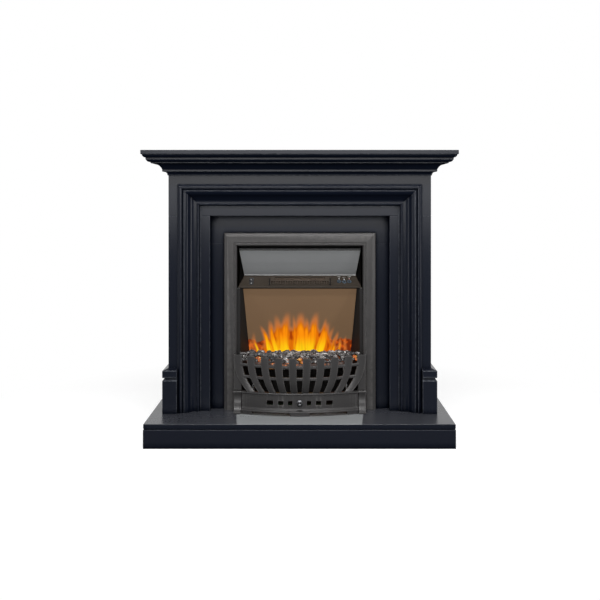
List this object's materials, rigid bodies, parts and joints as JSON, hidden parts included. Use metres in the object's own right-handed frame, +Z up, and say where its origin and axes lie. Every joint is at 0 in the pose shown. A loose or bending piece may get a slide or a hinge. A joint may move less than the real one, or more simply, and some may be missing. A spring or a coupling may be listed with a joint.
{
  "type": "electric fireplace suite",
  "caption": "Lacquered mantel and hearth around an inset electric fire with hood, controls, fan heater, smoked flame screen, ember bed and bowed cast fret.",
  "frame": {"origin": "on the floor, in the middle of the suite's width and depth", "axes": "+X along the shelf to the right as seen from the room, +Y towards the wall, +Z up"},
  "size_m": [1.0314, 0.3806, 0.95],
  "materials": {
    "lacquer": "satin blue-black lacquer on fibreboard",
    "bracket_steel": "galvanised sheet",
    "cast_iron": "satin black casting",
    "hood_paint": "satin grey",
    "casing_paint": "matt black",
    "strip_paint": "satin brown-black",
    "black_plastic": "matt moulded",
    "rocker_plastic": "gloss moulded",
    "button_plastic": "gloss moulded",
    "circuit_board": "bare board",
    "element_metal": "heat-tinted fins",
    "smoked_glass": "smoked brown",
    "ember_resin": "painted coals",
    "bright_steel": "polished"
  },
  "bodies": {
    "surround": {"hearth_top": "lacquer", "hearth_fascia_front": "lacquer", "hearth_fascia_left": "lacquer", "hearth_fascia_right": "lacquer", "hearth_rear_rail": "lacquer", "hearth_batten": "lacquer", "mantel_shelf": "lacquer", "cornice_front": "lacquer", "cornice_left": "lacquer", "cornice_right": "lacquer", "frieze_board": "lacquer", "jamb_left": "lacquer", "jamb_right": "lacquer", "side_panel_left": "lacquer", "side_panel_right": "lacquer", "moulding_top": "lacquer", "moulding_left": "lacquer", "moulding_right": "lacquer", "slip_top": "lacquer", "slip_left": "lacquer", "slip_right": "lacquer", "plinth_left": "lacquer", "plinth_right": "lacquer", "plinth_cap_left": "lacquer", "plinth_cap_right": "lacquer", "back_panel_top": "lacquer", "back_panel_left": "lacquer", "back_panel_right": "lacquer", "rear_top_rail": "lacquer", "wall_bracket_left": "bracket_steel", "wall_bracket_right": "bracket_steel", "blower_housing": "bracket_steel", "bed_support": "bracket_steel", "spindle_motor": "bracket_steel", "trim_frame": "cast_iron", "fret": "cast_iron", "leg_left": "cast_iron", "leg_right": "cast_iron", "hood_plate": "hood_paint", "casing": "casing_paint", "cheek_left": "casing_paint", "cheek_right": "casing_paint", "control_strip": "strip_paint", "outlet_grille": "black_plastic", "spindle_bearing": "black_plastic", "cable_gland": "black_plastic", "control_board": "circuit_board", "lamp_board": "circuit_board", "heating_element": "element_metal", "flame_screen": "smoked_glass", "ember_bed": "ember_resin", "fan_motor": "bright_steel"},
    "power_rocker": {"power_rocker": "rocker_plastic"},
    "button_1": {"button_1": "button_plastic"},
    "button_2": {"button_2": "button_plastic"},
    "button_3": {"button_3": "button_plastic"},
    "fan_wheel": {"fan_wheel": "black_plastic"},
    "flame_spindle": {"flame_spindle": "bright_steel"},
    "ash_cover": {"ash_cover": "cast_iron", "ash_knob": "bright_steel"}
  },
  "joints": [
    {"name": "power_rocker_tilt", "type": "hinge", "parent": "surround", "child": "power_rocker", "pos_m": [-0.1656, 0.01244, 0.50964], "axis": [-1, 0, 0], "range_deg": [0, 18]},
    {"name": "button_1_press", "type": "slide", "parent": "surround", "child": "button_1", "axis": [0, 0.6364, -0.7714], "range_m": [0, 0.0015], "stiffness_N_per_m": 300, "springref_m": -0.001},
    {"name": "button_2_press", "type": "slide", "parent": "surround", "child": "button_2", "axis": [0, 0.6364, -0.7714], "range_m": [0, 0.0015], "stiffness_N_per_m": 300, "springref_m": -0.001},
    {"name": "button_3_press", "type": "slide", "parent": "surround", "child": "button_3", "axis": [0, 0.6364, -0.7714], "range_m": [0, 0.0015], "stiffness_N_per_m": 300, "springref_m": -0.001},
    {"name": "fan_wheel_spin", "type": "hinge", "parent": "surround", "child": "fan_wheel", "pos_m": [0, 0.1138, 0.4988], "axis": [1, 0, 0], "continuous": true},
    {"name": "flame_spindle_spin", "type": "hinge", "parent": "surround", "child": "flame_spindle", "pos_m": [0, 0.1378, 0.1968], "axis": [1, 0, 0], "continuous": true},
    {"name": "ash_cover_pull", "type": "slide", "parent": "surround", "child": "ash_cover", "axis": [0, -1, 0], "range_m": [0, 0.06]}
  ]
}
